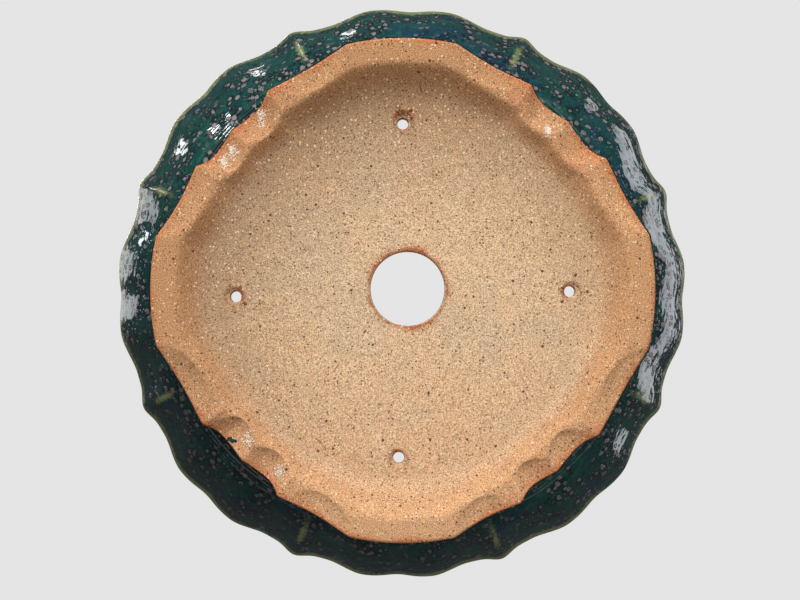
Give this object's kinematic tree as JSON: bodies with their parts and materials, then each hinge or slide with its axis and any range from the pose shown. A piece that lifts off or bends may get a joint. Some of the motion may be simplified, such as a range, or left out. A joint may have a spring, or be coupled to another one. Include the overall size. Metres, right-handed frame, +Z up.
{
  "type": "bonsai pot",
  "caption": "Shallow round bonsai pot with a petalled, flared wall, cloud-cut foot ring, central drain and wire holes, glazed outside.",
  "frame": {"origin": "on the pot's axis, in the plane that the feet stand on", "axes": "+Z up along the pot's axis, towards its mouth; +X and +Y each through the middle of a foot"},
  "size_m": [0.248, 0.248, 0.0617],
  "materials": {
    "buff_clay": "unglazed buff stoneware, matt and gritty, with dark and pale specks",
    "flashed_clay": "unglazed buff stoneware that the fire has flashed orange at its edges",
    "teal_glaze": "glossy deep teal glaze with pale lavender spots, breaking to yellow green where it is thin"
  },
  "bodies": {
    "root": {"floor_slab": "buff_clay", "bowl_wall": "buff_clay", "seam_coil": "buff_clay", "rim_lip": "buff_clay", "foot_ring": "flashed_clay", "glaze_coat": "teal_glaze"}
  },
  "joints": []
}
